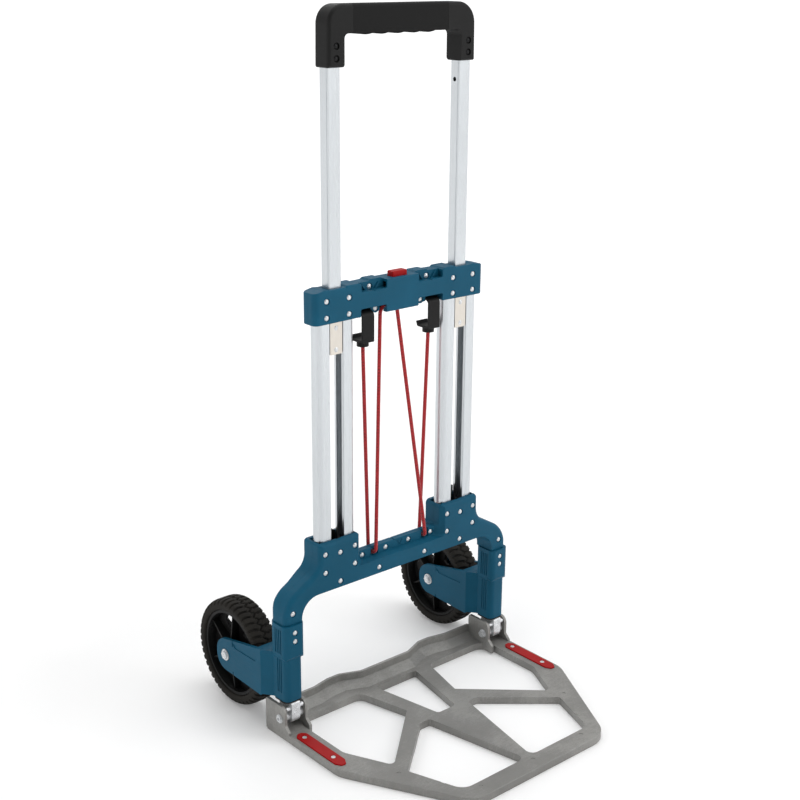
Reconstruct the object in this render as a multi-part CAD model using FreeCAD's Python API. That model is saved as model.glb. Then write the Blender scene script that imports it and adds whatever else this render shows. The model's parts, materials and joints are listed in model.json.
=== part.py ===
"""Folding luggage cart: an upright of paired rails with a telescopic handle, a fold-up platform and two
wheel arms that swing in behind the platform.

Units are millimetres. X runs across the cart, -Y points to the load side, +Z is up.
Shapes are drawn with Y = 0 on the front face of the cross piece, then moved back by FRAME_Y so that the
origin lies on the floor under the middle of the whole cart.
"""
import FreeCAD
import Part
import math
import os
from FreeCAD import Vector

os.makedirs("parts", exist_ok=True)

# ---------------------------------------------------------------- driving dimensions
TOTAL_HEIGHT = 1106.0
FRONT_EDGE_Y = -329.0

# platform
PLATFORM_HALF_WIDTH = 244.0
PLATFORM_TOP_Z = 12.5
PLATFORM_SKIN = 4.0
PLATFORM_RIM = 4.0
HINGE_Y = 5.5
HINGE_Z = 33.0
EAR_TOP_Z = 55.5
EAR_FRONT_Y = -7.0
EAR_BACK_Y = 43.0
EAR_INNER = 17.75
EAR_OUTER = 22.75
HINGE_BOLT_RADIUS = 4.0
WALL_TOP_Z = 34.5
WALL_THICKNESS = 4.5
STRIP_X = 228.7
STRIP_THICKNESS = 2.0
STRIP_SCREW_Y = (-38.0, -110.0)
SCREW_SEAT = 0.5

# legs, arms and wheels
LEG_X = 221.0
LEG_Y = 15.0
CORE_RADIUS = 13.0
CORE_WALL = 1.6
CORE_Z = (58.6, 213.0)
KNEE_RIVET_Z = 209.4
SLEEVE_Z = (61.5, 192.0)
SLEEVE_HALF_WIDTH = 17.0
SLEEVE_FRONT_Y = -5.0
SLEEVE_BACK_Y = 34.5
COLLAR_HALF_WIDTH = 19.4
COLLAR_FRONT_Y = -8.5
COLLAR_Z = 141.0
SLEEVE_BORE = 15.5
FORK_RIVET_Z = (179.3, 164.7)
FORK_HALF_WIDTH = 29.0
CHEEK_INNER = 23.0
WHEEL_RADIUS = 89.5
WHEEL_Y = 144.5
TYRE_WIDTH = 44.0
TYRE_INNER_RADIUS = 71.4
AXLE_RADIUS = 5.0
RUNNING_CLEARANCE = 0.05
CAM_Y = -1.0
CAM_Z = 48.5
CAM_RADIUS = 3.5

# upright
RAIL_DEPTH = (5.0, 28.0)
RAIL_WIDTH = 24.0
GAP_CENTRE_X = 126.25
GAP_HALF = 12.75
RAIL_Z = (232.0, 700.5)
TUBE_HALF_WIDTH = 11.65
TUBE_DEPTH = (7.0, 26.0)
TUBE_WALL = 1.6
TUBE_BOTTOM_Z = 616.5
SLIDER_BOTTOM_Z = 603.8
SLIDER_RIVET_Z = (644.5, 611.0)
SLIDER_TRAVEL = 311.0
KEEPER_FACE_Y = 5.6
LATCH_Z = 681.0
LATCH_RADIUS = 3.0
SLOT_X = 26.0

# cross piece
BAR_HALF_LENGTH = 170.0
BAR_DEPTH = 33.0
BAR_Z = (654.5, 705.5)
BAR_WALL = 3.0
POCKET_DEPTH = 11.0
BUTTON_HALF_WIDTH = 14.6
BUTTON_DEPTH = (7.4, 21.6)
BUTTON_TOP_Z = 713.5
BUTTON_BASE_Z = 697.0
BUTTON_GAP = 0.8

# yoke
YOKE_DEPTH = (-4.0, 37.0)
YOKE_WALL = 3.0
YOKE_LEG_BACK_Y = 33.0
YOKE_LEG_Z = 192.5
TOWER_INNER = 86.0
TOWER_FILLET = 8.0
TOWER_TOP_Z = 307.5
WEB_DEPTH = (9.4, 20.0)
WEB_TOP_Z = 269.8
WEB_HALF_LENGTH = 80.0
WEB_RIVET_Z = 260.7
LEDGE_Z = 254.8

# handle
HANDLE_HALF_WIDTH = 141.0
HANDLE_LEG_INNER = 112.0
HANDLE_DEPTH = 33.0
HANDLE_BOTTOM_Z = 1020.0
GRIP_BOTTOM_Z = 1066.0
GRIP_X = (-96.0, 85.0)
LOBE_X = (-70.0, -41.0, -11.0, 20.0, 48.0)
LOBE_DEPTH = 2.4
LOBE_RADIUS = 45.0
HANDLE_RIVET_Z = (1049.5, 1032.5)

# fasteners
RIVET_HEAD = 4.1
RIVET_CAP = 1.8
RIVET_SHANK = 2.2
RECESS_RADIUS = 5.2
RECESS_DEPTH = 1.2

# cord and hooks
CORD_RADIUS = 3.0
HOOK_X = 67.0
HOOK_HALF_WIDTH = 11.0
HOOK_Z = 612.0
CORD_END_Z = 609.9
CORD_LOW_Z = 258.5
CORD_HOLE_X = (-48.8, 59.2)

MID_Y = BAR_DEPTH / 2
SEAM = 0.1
FRAME_Y = -(FRONT_EDGE_Y + WHEEL_Y + WHEEL_RADIUS) / 2


# ---------------------------------------------------------------- helpers
def point(axis, a, b, c):
    """Point with in-plane coordinates a, b on the plane normal to axis at height c."""
    return {"x": Vector(c, a, b), "y": Vector(a, c, b), "z": Vector(a, b, c)}[axis]


def outline(axis, corners, level=0.0):
    """Closed face through the corners; a corner given as (a, b, r) is rounded with radius r."""
    count = len(corners)
    edges = []
    start = None
    last = None
    for i, corner in enumerate(corners):
        here = point(axis, corner[0], corner[1], level)
        before = point(axis, corners[i - 1][0], corners[i - 1][1], level)
        after = point(axis, corners[(i + 1) % count][0], corners[(i + 1) % count][1], level)
        radius = corner[2] if len(corner) > 2 else 0.0
        if radius:
            back = (before - here).normalize()
            ahead = (after - here).normalize()
            half = back.getAngle(ahead) / 2
            reach = radius / math.tan(half)
            enter = here + back * reach
            leave = here + ahead * reach
            bisector = (back + ahead).normalize()
            middle = here + bisector * (radius / math.sin(half) - radius)
        else:
            enter = here
            leave = here
            middle = None
        if last is not None and last.distanceToPoint(enter) > 1e-6:
            edges.append(Part.LineSegment(last, enter).toShape())
        if middle is not None:
            edges.append(Part.Arc(enter, middle, leave).toShape())
        if start is None:
            start = enter
        last = leave
    if last.distanceToPoint(start) > 1e-6:
        edges.append(Part.LineSegment(last, start).toShape())
    return Part.Face(Part.Wire(edges))


def prism(axis, corners, low, high):
    """Solid made by pushing an outline along its axis from low to high."""
    return outline(axis, corners, low).extrude(point(axis, 0, 0, high - low))


def block(x, y, z, radius=0.0, axis="z"):
    """Box between the three pairs, with the edges along axis rounded."""
    pairs = {"x": (y, z, x), "y": (x, z, y), "z": (x, y, z)}[axis]
    (a0, a1), (b0, b1), (low, high) = pairs
    return prism(axis, [(a0, b0, radius), (a1, b0, radius), (a1, b1, radius), (a0, b1, radius)], low, high)


def rod(axis, a, b, radius, low, high):
    """Cylinder along axis through in-plane point a, b."""
    return Part.makeCylinder(radius, high - low, point(axis, a, b, low), point(axis, 0, 0, 1))


def ring(axis, a, b, inner, outer, low, high):
    """Washer or tube along axis."""
    return rod(axis, a, b, outer, low, high).cut(rod(axis, a, b, inner, low - 1, high + 1))


def hexagon(axis, a, b, across, low, high):
    """Hexagonal prism of the given width across flats."""
    reach = across / math.sqrt(3)
    corners = [(a + reach * math.cos(math.radians(60 * k)), b + reach * math.sin(math.radians(60 * k)))
               for k in range(6)]
    return prism(axis, corners, low, high)


def mirrored(shape):
    """The same piece on the other side of the cart."""
    return shape.mirror(Vector(0, 0, 0), Vector(1, 0, 0))


def both(shape):
    """The piece and its mirror image."""
    return [shape, mirrored(shape)]


def joined(shapes):
    """One solid from several that touch or overlap."""
    return shapes[0].fuse(shapes[1:]).removeSplitter()


def without(shape, cutters):
    """The shape with every cutter taken out of it."""
    return shape.cut(Part.makeCompound(cutters)) if cutters else shape


def rounded(shape, radius, keep):
    """The shape with a fillet on the edges that keep accepts."""
    return shape.makeFillet(radius, [edge for edge in shape.Edges if keep(edge)])


def on_plane(edge, axis, value):
    """True if the whole edge lies at the given height along axis."""
    box = edge.BoundBox
    low, high = {"x": (box.XMin, box.XMax), "y": (box.YMin, box.YMax), "z": (box.ZMin, box.ZMax)}[axis]
    return abs(low - value) < 1e-3 and abs(high - value) < 1e-3


def export(name, shapes):
    """Write one node: a solid, or a group of separate solids."""
    pieces = shapes if isinstance(shapes, list) else [shapes]
    shape = pieces[0] if len(pieces) == 1 else Part.makeCompound(pieces)
    shape = shape.copy()
    shape.translate(Vector(0, FRAME_Y, 0))
    shape.exportStep("parts/%s.step" % name)
    print(name, len(shape.Solids), shape.isValid(), round(shape.Volume / 1000, 1))


# ---------------------------------------------------------------- rivets
def cap(height, radius):
    """Low dome standing on the plane Y = 0 and bulging towards -Y."""
    sphere_radius = (radius ** 2 + height ** 2) / (2 * height)
    sphere = Part.makeSphere(sphere_radius, Vector(0, sphere_radius - height, 0))
    return sphere.common(block((-radius, radius), (-height - 1, 0), (-radius, radius)))


def rivet(x, z, front, back):
    """Domed rivet through a stack from the recess floor at front to the one at back."""
    head = cap(RIVET_CAP, RIVET_HEAD)
    tail = cap(RIVET_CAP, RIVET_HEAD).mirror(Vector(0, 0, 0), Vector(0, 1, 0))
    head.translate(Vector(x, front, z))
    tail.translate(Vector(x, back, z))
    return joined([head, rod("y", x, z, RIVET_SHANK, front, back), tail])


def rivet_room(x, z, front, back):
    """Hole and recesses that a rivet needs."""
    deep = 20.0
    return joined([
        rod("y", x, z, RIVET_SHANK + RUNNING_CLEARANCE, front - 1, back + 1),
        rod("y", x, z, RECESS_RADIUS, front - deep, front),
        rod("y", x, z, RECESS_RADIUS, back, back + deep),
    ])


def shank_hole(x, z):
    """Through hole for a rivet shank."""
    return rod("y", x, z, RIVET_SHANK + RUNNING_CLEARANCE, -20, 45)


BAR_FACE = RECESS_DEPTH
BAR_BACK = BAR_DEPTH - RECESS_DEPTH
BAR_RIVETS = [(s * x, z, BAR_FACE, BAR_BACK)
              for s in (-1, 1) for x in (147.4, 105.0) for z in (688.3, 663.3)]
BAR_RIVETS += [(s * 57.5, 696.4, POCKET_DEPTH + RECESS_DEPTH, BAR_BACK) for s in (-1, 1)]
BAR_RIVETS += [(s * 45.5, 661.0, POCKET_DEPTH + RECESS_DEPTH, BAR_BACK) for s in (-1, 1)]

YOKE_FACE = YOKE_DEPTH[0] + RECESS_DEPTH
YOKE_BACK = YOKE_DEPTH[1] - RECESS_DEPTH
TOWER_RIVETS = [(156.9, 289.6), (98.3, 289.6), (156.9, 258.8), (98.3, 258.8), (127.7, 286.0),
                (127.7, 237.0)]
YOKE_RIVETS = [(s * x, z, YOKE_FACE, YOKE_BACK) for s in (-1, 1) for x, z in TOWER_RIVETS + [(48.4, 237.1)]]
YOKE_RIVETS += [(s * x, WEB_RIVET_Z, WEB_DEPTH[0] + RECESS_DEPTH, WEB_DEPTH[1] - RECESS_DEPTH)
                for s in (-1, 1) for x in (24.2, 73.0)]
KNEE_RIVETS = [(s * LEG_X, KNEE_RIVET_Z, YOKE_FACE, YOKE_LEG_BACK_Y - RECESS_DEPTH) for s in (-1, 1)]


# ---------------------------------------------------------------- upright
def rail(flip):
    """Rounded channel, open towards the gap; flip gives the one on the inner side of the gap."""
    y0, y1 = RAIL_DEPTH
    side = -1 if flip else 1
    wall = 1.8
    lip = 5.0

    def across(distance):
        return GAP_CENTRE_X + side * distance

    outer = prism("z", [(across(GAP_HALF), y0, 1.0), (across(GAP_HALF + RAIL_WIDTH), y0, 11.4),
                        (across(GAP_HALF + RAIL_WIDTH), y1, 11.4), (across(GAP_HALF), y1, 1.0)], *RAIL_Z)
    far = GAP_HALF + RAIL_WIDTH - wall
    hollow = prism("z", [(across(GAP_HALF + wall), y0 + wall), (across(far), y0 + wall, 9.6),
                         (across(far), y1 - wall, 9.6), (across(GAP_HALF + wall), y1 - wall)],
                   RAIL_Z[0] - 1, RAIL_Z[1] + 1)
    mouth = sorted((across(GAP_HALF - 1), across(GAP_HALF + wall + 1)))
    slot = block(mouth, (y0 + lip, y1 - lip), (RAIL_Z[0] - 1, RAIL_Z[1] + 1))
    holes = [shank_hole(spot[0], spot[1]) for spot in BAR_RIVETS + YOKE_RIVETS if spot[0] > 80]
    if flip:
        holes.append(rod("x", MID_Y, LATCH_Z, LATCH_RADIUS + 0.3, 80, 116))
    return without(outer, [hollow, slot] + holes)


def handle_tube():
    """Rectangular aluminium tube with the two latch holes on its inner side."""
    x0 = GAP_CENTRE_X - TUBE_HALF_WIDTH
    x1 = GAP_CENTRE_X + TUBE_HALF_WIDTH
    y0, y1 = TUBE_DEPTH
    top = TOTAL_HEIGHT - 30.0
    outer = block((x0, x1), (y0, y1), (TUBE_BOTTOM_Z, top), 2.2)
    inner = block((x0 + TUBE_WALL, x1 - TUBE_WALL), (y0 + TUBE_WALL, y1 - TUBE_WALL),
                  (TUBE_BOTTOM_Z - 1, top + 1), 1.2)
    latch_holes = [rod("x", MID_Y, z, LATCH_RADIUS + 0.4, x0 - 1, x0 + 4)
                   for z in (LATCH_Z, LATCH_Z + SLIDER_TRAVEL)]
    grooves = [block(side, (y0 + 1.6, y0 + 2.6), (TUBE_BOTTOM_Z - 1, top + 1))
               for side in ((x0 - 1, x0 + 0.5), (x1 - 0.5, x1 + 1))]
    rivet_holes = [shank_hole(GAP_CENTRE_X, z) for z in SLIDER_RIVET_Z[:1] + HANDLE_RIVET_Z]
    return without(outer, [inner] + latch_holes + grooves + rivet_holes)


def slider_block():
    """Plastic guide in the foot of a handle tube, with tongues that run in both rails."""
    low = SLIDER_BOTTOM_Z + 0.7
    foot = block((GAP_CENTRE_X - 11.2, GAP_CENTRE_X + 11.2), (7.4, 25.5), (low, TUBE_BOTTOM_Z), 1.0)
    tongue = block((GAP_CENTRE_X - 21.0, GAP_CENTRE_X + 21.0), (11.2, 21.8), (low, TUBE_BOTTOM_Z - 0.6), 1.5)
    plug = block((GAP_CENTRE_X - 9.8, GAP_CENTRE_X + 9.8), (8.8, 24.2), (TUBE_BOTTOM_Z - 1, 655.0), 1.0)
    return without(joined([foot, tongue, plug]), [shank_hole(GAP_CENTRE_X, z) for z in SLIDER_RIVET_Z])


def slider_plate():
    """Flat metal keeper on the front of the tube foot."""
    plate = block((GAP_CENTRE_X - 11.4, GAP_CENTRE_X + 11.4), (KEEPER_FACE_Y, 6.9),
                  (SLIDER_BOTTOM_Z, 664.0), 1.0, "y")
    return without(plate, [shank_hole(GAP_CENTRE_X, z) for z in SLIDER_RIVET_Z])


def slider_rivets():
    """Domed rivets through keeper, tube and guide."""
    pieces = []
    for z in SLIDER_RIVET_Z:
        head = cap(1.4, 3.8)
        head.translate(Vector(GAP_CENTRE_X, KEEPER_FACE_Y, z))
        pieces.append(joined([head, rod("y", GAP_CENTRE_X, z, RIVET_SHANK, KEEPER_FACE_Y, 24.0)]))
    return pieces


def stop_plug():
    """Plug that closes the gap inside the yoke and stops the handle; its back stands up behind the tube."""
    half = GAP_HALF - 0.3
    floor = block((GAP_CENTRE_X - half, GAP_CENTRE_X + half), (5.6, 30.0), (266.5, 291.5), 1.5)
    back = block((GAP_CENTRE_X - half, GAP_CENTRE_X + half), (26.8, 31.0), (266.5, 322.0), 1.5)
    notch = prism("y", [(GAP_CENTRE_X + 2, 318), (GAP_CENTRE_X - 14, 309), (GAP_CENTRE_X - 14, 326),
                        (GAP_CENTRE_X + 2, 326)], 20, 40)
    return without(joined([floor, back]), [notch, shank_hole(*TOWER_RIVETS[4])])


# ---------------------------------------------------------------- cross piece
def bar_envelope():
    """Outer form of the cross piece: a rounded bar whose top edge steps along its length."""
    z0, z1 = BAR_Z
    half = [(32, z0), (35, z0 + 1.5), (80, z0 + 1.5), (86, z0), (BAR_HALF_LENGTH, z0 - 1),
            (BAR_HALF_LENGTH, z1 - 4), (150, z1, 8), (140, z1 - 1, 6), (112, z1 - 1, 6), (108, z1 + 1.5, 2),
            (86, z1 + 1.5, 2), (82, z1 - 1, 2), (60, z1 - 0.5, 1), (56, z1 + 2, 1), (36, z1 + 2, 2),
            (32, z1, 2)]
    left = [(-p[0],) + tuple(p[1:]) for p in reversed(half)]
    face = prism("y", half + left, 0, BAR_DEPTH)
    plan = block((-BAR_HALF_LENGTH, BAR_HALF_LENGTH), (0, BAR_DEPTH), (z0 - 10, z1 + 10), 9.5)
    return face.common(plan)


def bar_cavity():
    """Three chambers inside the cross piece and the open pockets in its front."""
    z0, z1 = BAR_Z
    w = BAR_WALL
    chambers = [block(span, (w, BAR_DEPTH - w), (z0 + w + 0.5, z1 - w - 1), 3.0)
                for span in ((-166, -87), (-84, 84), (87, 166))]
    upper = block((32, 82), (-1, POCKET_DEPTH), (692.5, z1 + 10), 2.5, "y")
    lower = block((32, 83), (-1, POCKET_DEPTH), (z0 - 10, 667.0), 2.5, "y")
    return chambers + both(upper) + both(lower)


def bar_passages():
    """Paths of the rails, tubes, hooks, latch pins, cord and button through the cross piece."""
    z0, z1 = BAR_Z
    rail_half = GAP_HALF + RAIL_WIDTH + 0.3
    rail_gate = block((GAP_CENTRE_X - rail_half, GAP_CENTRE_X + rail_half),
                      (RAIL_DEPTH[0] - 0.3, RAIL_DEPTH[1] + 0.3), (z0 - 5, RAIL_Z[1] + 0.2))
    tube_gate = block((GAP_CENTRE_X - TUBE_HALF_WIDTH - 0.6, GAP_CENTRE_X + TUBE_HALF_WIDTH + 0.6),
                      (TUBE_DEPTH[0] - 0.6, TUBE_DEPTH[1] + 0.6), (z1 - 10, z1 + 10), 2.0)
    hook_gate = block((HOOK_X - HOOK_HALF_WIDTH - 0.6, HOOK_X + HOOK_HALF_WIDTH + 0.6), (-1, 16.4),
                      (z0 - 10, 666.5))
    pin_gate = rod("x", MID_Y, LATCH_Z, LATCH_RADIUS + 0.3, 10, 120)
    cord_gate = block((-38.5, 6), (9, 19.5), (z0 - 5, 672.0), 4.0)
    button_gate = block((-BUTTON_HALF_WIDTH - BUTTON_GAP, BUTTON_HALF_WIDTH + BUTTON_GAP),
                        (BUTTON_DEPTH[0] - BUTTON_GAP, BUTTON_DEPTH[1] + BUTTON_GAP), (z1 - 15, z1 + 10), 2.5)
    paired = both(rail_gate) + both(tube_gate) + both(hook_gate) + both(pin_gate)
    return paired + [cord_gate, button_gate]


def pocket_walls():
    """Floors and ledges that close the pockets towards the chambers."""
    z0, z1 = BAR_Z
    floor = POCKET_DEPTH + 2.5
    walls = [block((31, 83), (POCKET_DEPTH, floor), (690.0, z1 - 0.5)),
             block((31, 56), (POCKET_DEPTH, floor), (z0 + 1.6, 669.0)),
             block((31, 83.5), (2.0, floor), (690.0, 692.5)),
             block((31, 83.5), (2.0, floor), (667.0, 669.5))]
    return [side for wall in walls for side in both(wall)]


def pocket_ribs():
    """Rivet pillars, and thin crossed ribs on the floor of each upper pocket."""
    ribs = []
    for x, z, front, back in BAR_RIVETS:
        pillar_front = front - RECESS_DEPTH + (0 if front > BAR_FACE else BAR_WALL - 0.5)
        ribs.append(rod("y", x, z, 7.0, pillar_front, BAR_DEPTH - BAR_WALL + 0.5))
    for side in (-1, 1):
        for lean in (-1, 1):
            ribs.append(prism("y", [(side * 57.5 + lean * 8, 692.9), (side * 57.5 + lean * 16, 702.5),
                                    (side * 57.5 + lean * 17.5, 701.5), (side * 57.5 + lean * 9.5, 690.8)],
                              POCKET_DEPTH - 2.5, POCKET_DEPTH + 1.5))
    return ribs


def bar_halves():
    """Front and back shells of the cross piece, split on the middle plane."""
    whole = rounded(bar_envelope(), 2.0, lambda e: e.Length > 20
                    and (on_plane(e, "y", 0) or on_plane(e, "y", BAR_DEPTH)))
    passages = bar_passages()
    shell = without(whole, bar_cavity() + passages)
    filled = joined([shell] + pocket_walls() + pocket_ribs())
    filled = without(filled, passages + [rivet_room(*spot) for spot in BAR_RIVETS])
    front = filled.common(block((-200, 200), (-20, MID_Y - SEAM), (600, 750)))
    back = filled.common(block((-200, 200), (MID_Y + SEAM, 60), (600, 750)))
    return front, joined([back] + spring_seat())


# ---------------------------------------------------------------- release button and latch
def slanted(width, y, z):
    """Bar leaning outwards at 45 degrees below the button, centred on SLOT_X at the latch height."""
    low, high = z
    corners = [(SLOT_X + LATCH_Z - low - width / 2, low), (SLOT_X + LATCH_Z - low + width / 2, low),
               (SLOT_X + LATCH_Z - high + width / 2, high), (SLOT_X + LATCH_Z - high - width / 2, high)]
    return prism("y", corners, *y)


def button():
    """Red push button with two slanted legs that run in the slots of the latch slides."""
    body = block((-BUTTON_HALF_WIDTH, BUTTON_HALF_WIDTH), BUTTON_DEPTH, (BUTTON_BASE_Z, BUTTON_TOP_Z), 2.0)
    body = rounded(body, 1.4, lambda e: on_plane(e, "z", BUTTON_TOP_Z))
    leg = slanted(4.0, (15.0, 18.0), (676.0, BUTTON_BASE_Z + 1))
    return joined([body] + both(leg))


def button_spring():
    """Closed envelope of the small return spring under the button."""
    return ring("z", 0, MID_Y, 2.0, 3.6, 684.0, BUTTON_BASE_Z - 0.1)


def spring_seat():
    """Post and web on the back of the cross piece that carry the button spring."""
    return [rod("z", 0, MID_Y, 5.0, 676.0, 683.9), block((-3, 3), (19.0, BAR_DEPTH - 2), (672.0, 683.9))]


def latch_slide():
    """Latch slide: a flat bar with a slanted slot that ends in the round pin of the handle lock."""
    bar = block((SLOT_X - 8.0, SLOT_X + 12.0), (12.0, 21.0), (LATCH_Z - 3.0, LATCH_Z + 3.0), 1.0)
    pin = rod("x", MID_Y, LATCH_Z, LATCH_RADIUS, SLOT_X + 11.0, GAP_CENTRE_X - TUBE_HALF_WIDTH - 0.4)
    slot = slanted(4.8, (14.6, 18.4), (LATCH_Z - 8, LATCH_Z + 8))
    return joined([bar, pin]).cut(slot)


# ---------------------------------------------------------------- yoke
def yoke_outline():
    """Front view of the yoke: towers around the rails, a low web between them, arms curving to the legs."""
    half = [(84, WEB_TOP_Z, 3), (TOWER_INNER, WEB_TOP_Z + 4.2, 3), (TOWER_INNER, TOWER_TOP_Z, 7),
            (168, TOWER_TOP_Z, 5), (168, 266.5, 30), (237.5, 226.3, 50), (237.5, YOKE_LEG_Z),
            (204.5, YOKE_LEG_Z), (204.5, 227.5, 32)]
    left = [(-p[0],) + tuple(p[1:]) for p in reversed(half)]
    return half + left


def yoke_plan():
    """Top view of the yoke: full depth at the rails, shallower at the legs."""
    y0, y1 = YOKE_DEPTH
    half = [(237.6, y0, 9), (237.6, YOKE_LEG_BACK_Y, 9), (204, YOKE_LEG_BACK_Y, 12), (184, y1, 14)]
    left = [(-p[0],) + tuple(p[1:]) for p in reversed(half)]
    return half + left


def tower_edge(edge):
    """Outer edges of the yoke that carry the large radius."""
    centre = edge.CenterOfMass
    side = abs(centre.x) > 166 and centre.z > 223
    return side and (on_plane(edge, "y", YOKE_DEPTH[0]))


def flared(half_deep, half_wide, low_deep, low_wide, back):
    """Cutter between the towers whose ends and floor slope from the web out to the front face."""
    wires = []
    for half, low, y in ((half_deep, low_deep, back), (half_wide, low_wide, YOKE_DEPTH[0] - 1)):
        wires.append(outline("y", [(-half, low, 6), (half, low, 6), (half, 340), (-half, 340)], y).OuterWire)
    return Part.makeLoft(wires, True, True)


def cord_rooms():
    """Saddle groove and hole through the web for each loop of the cord; a bridge stays above the hole."""
    rooms = []
    for x in CORD_HOLE_X:
        rooms.append(block((x - 8, x + 8), (0, WEB_DEPTH[0] + 3), (LEDGE_Z, WEB_TOP_Z + 10), 1.5, "y"))
        rooms.append(block((x - 4.6, x + 4.6), (0, WEB_DEPTH[1] + 7), (LEDGE_Z + 0.4, 265.5), 2.0, "y"))
    return rooms


def yoke_halves():
    """Front and back shells of the yoke, split on the middle plane."""
    y0, y1 = YOKE_DEPTH
    w = YOKE_WALL
    face = outline("y", yoke_outline(), y0)
    body = face.extrude(Vector(0, y1 - y0, 0)).common(prism("z", yoke_plan(), 150, 350))
    body = rounded(body, TOWER_FILLET, tower_edge)
    cavity = outline("y", yoke_outline(), y0 + w).makeOffset2D(-w).extrude(Vector(0, y1 - y0 - 2 * w, 0))
    cavity = cavity.common(outline("z", yoke_plan(), 150).makeOffset2D(-w).extrude(Vector(0, 0, 200)))
    recess = flared(WEB_HALF_LENGTH, WEB_HALF_LENGTH + 14, LEDGE_Z, LEDGE_Z - 3, WEB_DEPTH[0])
    backing = flared(WEB_HALF_LENGTH + 3, WEB_HALF_LENGTH + 17, LEDGE_Z - 3, LEDGE_Z - 6, WEB_DEPTH[0] + 1)
    shelf_z = LEDGE_Z + 0.2
    shelf_room = block((-82, 82), (WEB_DEPTH[1], 60), (shelf_z, 340))
    web = block((-TOWER_INNER, TOWER_INNER), WEB_DEPTH, (shelf_z - 2.6, WEB_TOP_Z))
    shelf = block((-84.6, 84.6), (WEB_DEPTH[0], y1), (shelf_z - 2.6, shelf_z))
    ends = both(block((81, 84.6), (WEB_DEPTH[0], y1), (shelf_z - 2.6, 284)))
    pillars = [rod("y", x, z, 6.8, front + 0.8, back - 0.8) for x, z, front, back in YOKE_RIVETS]
    inserts = joined([web, shelf, backing] + ends).common(body)
    filled = joined([without(body, [cavity]), inserts] + pillars)
    core_room = rod("z", LEG_X, LEG_Y, CORE_RADIUS + RUNNING_CLEARANCE, 150, CORE_Z[1] + 0.2)
    tower_half = GAP_HALF + RAIL_WIDTH + 0.2
    tower_room = block((GAP_CENTRE_X - tower_half, GAP_CENTRE_X + tower_half), (RAIL_DEPTH[0] - 0.2, 31.2),
                       (231.5, 325.0))
    head_groove = block((GAP_CENTRE_X - 5.0, GAP_CENTRE_X + 5.0), (3.4, 6.0), (286.0, 325.0))
    nick = prism("y", [(-8.8, WEB_TOP_Z + 1), (-5.2, WEB_TOP_Z + 1), (-7, WEB_TOP_Z - 2)], 5, 25)
    chevron = prism("y", [(-2, 266.5), (1, 266.5), (4, 260.5), (7, 266.5), (10, 266.5), (5.5, 257.5),
                          (2.5, 257.5)], 5, WEB_DEPTH[0] + 0.8)
    cuts = [recess, shelf_room, nick, chevron] + both(core_room) + both(tower_room) + both(head_groove)
    cuts += cord_rooms() + [rivet_room(*spot) for spot in YOKE_RIVETS + KNEE_RIVETS]
    filled = without(filled, cuts)
    split = (y0 + y1) / 2
    front = filled.common(block((-260, 260), (-20, split - SEAM), (150, 330)))
    back = filled.common(block((-260, 260), (split + SEAM, 60), (150, 330)))
    return front, back


# ---------------------------------------------------------------- legs and hinges
def leg_core():
    """Steel tube on which a wheel arm swivels."""
    tube = ring("z", LEG_X, LEG_Y, CORE_RADIUS - CORE_WALL, CORE_RADIUS, *CORE_Z)
    return tube.cut(shank_hole(LEG_X, KNEE_RIVET_Z))


def hinge_block():
    """Steel knuckle under the leg core, bored for the hinge bolt and the cam pin."""
    knuckle = prism("x", [(-6.5, 22, 11), (-6.5, 58.4, 3), (26, 58.4, 3), (26, 44, 6), (17.5, 22, 11)],
                    LEG_X - 8, LEG_X + 8)
    stem = rod("z", LEG_X, LEG_Y, CORE_RADIUS - CORE_WALL - RUNNING_CLEARANCE, 50, 84)
    stem = stem.common(block((LEG_X - 8, LEG_X + 8), (0, 40), (40, 58.5)).fuse(
        block((LEG_X - 20, LEG_X + 20), (0, 40), (58.5, 90))))
    bores = [rod("x", HINGE_Y, HINGE_Z, HINGE_BOLT_RADIUS + RUNNING_CLEARANCE, 190, 250),
             rod("x", CAM_Y, CAM_Z, CAM_RADIUS + RUNNING_CLEARANCE, 190, 250)]
    return without(joined([knuckle, stem]), bores)


def cam_pin():
    """Cross pin through the knuckle that steers the arm's cam."""
    return rod("x", CAM_Y, CAM_Z, CAM_RADIUS, LEG_X - 16, LEG_X + 16)


def hinge_bolt():
    """Pivot bolt through both ears, with a domed head on the outer side and a nut on the inner side."""
    shank = rod("x", HINGE_Y, HINGE_Z, HINGE_BOLT_RADIUS, LEG_X - EAR_OUTER - 6.0, LEG_X + EAR_OUTER)
    head = rod("x", HINGE_Y, HINGE_Z, 7.2, LEG_X + EAR_OUTER, LEG_X + EAR_OUTER + 1.6)
    dome = rod("x", HINGE_Y, HINGE_Z, 5.4, LEG_X + EAR_OUTER + 1.6, LEG_X + EAR_OUTER + 3.2)
    bolt = joined([shank, head, dome])
    socket = hexagon("x", HINGE_Y, HINGE_Z, 4.5, LEG_X + EAR_OUTER + 1.2, LEG_X + EAR_OUTER + 5)
    return bolt.cut(socket)


def hinge_nut():
    """Domed nut that closes the pivot bolt."""
    face = LEG_X - EAR_OUTER
    flange = rod("x", HINGE_Y, HINGE_Z, 7.2, face - 1.4, face)
    nut = joined([flange, hexagon("x", HINGE_Y, HINGE_Z, 11, face - 5.4, face - 1.4)])
    return nut.cut(rod("x", HINGE_Y, HINGE_Z, HINGE_BOLT_RADIUS + RUNNING_CLEARANCE, face - 10, face + 1))


def hinge_washers():
    """Spacers between knuckle and ears."""
    return [ring("x", HINGE_Y, HINGE_Z, HINGE_BOLT_RADIUS + RUNNING_CLEARANCE, 7.5, LEG_X + low, LEG_X + low + 9.1)
            for low in (-17.3, 8.2)]


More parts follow.
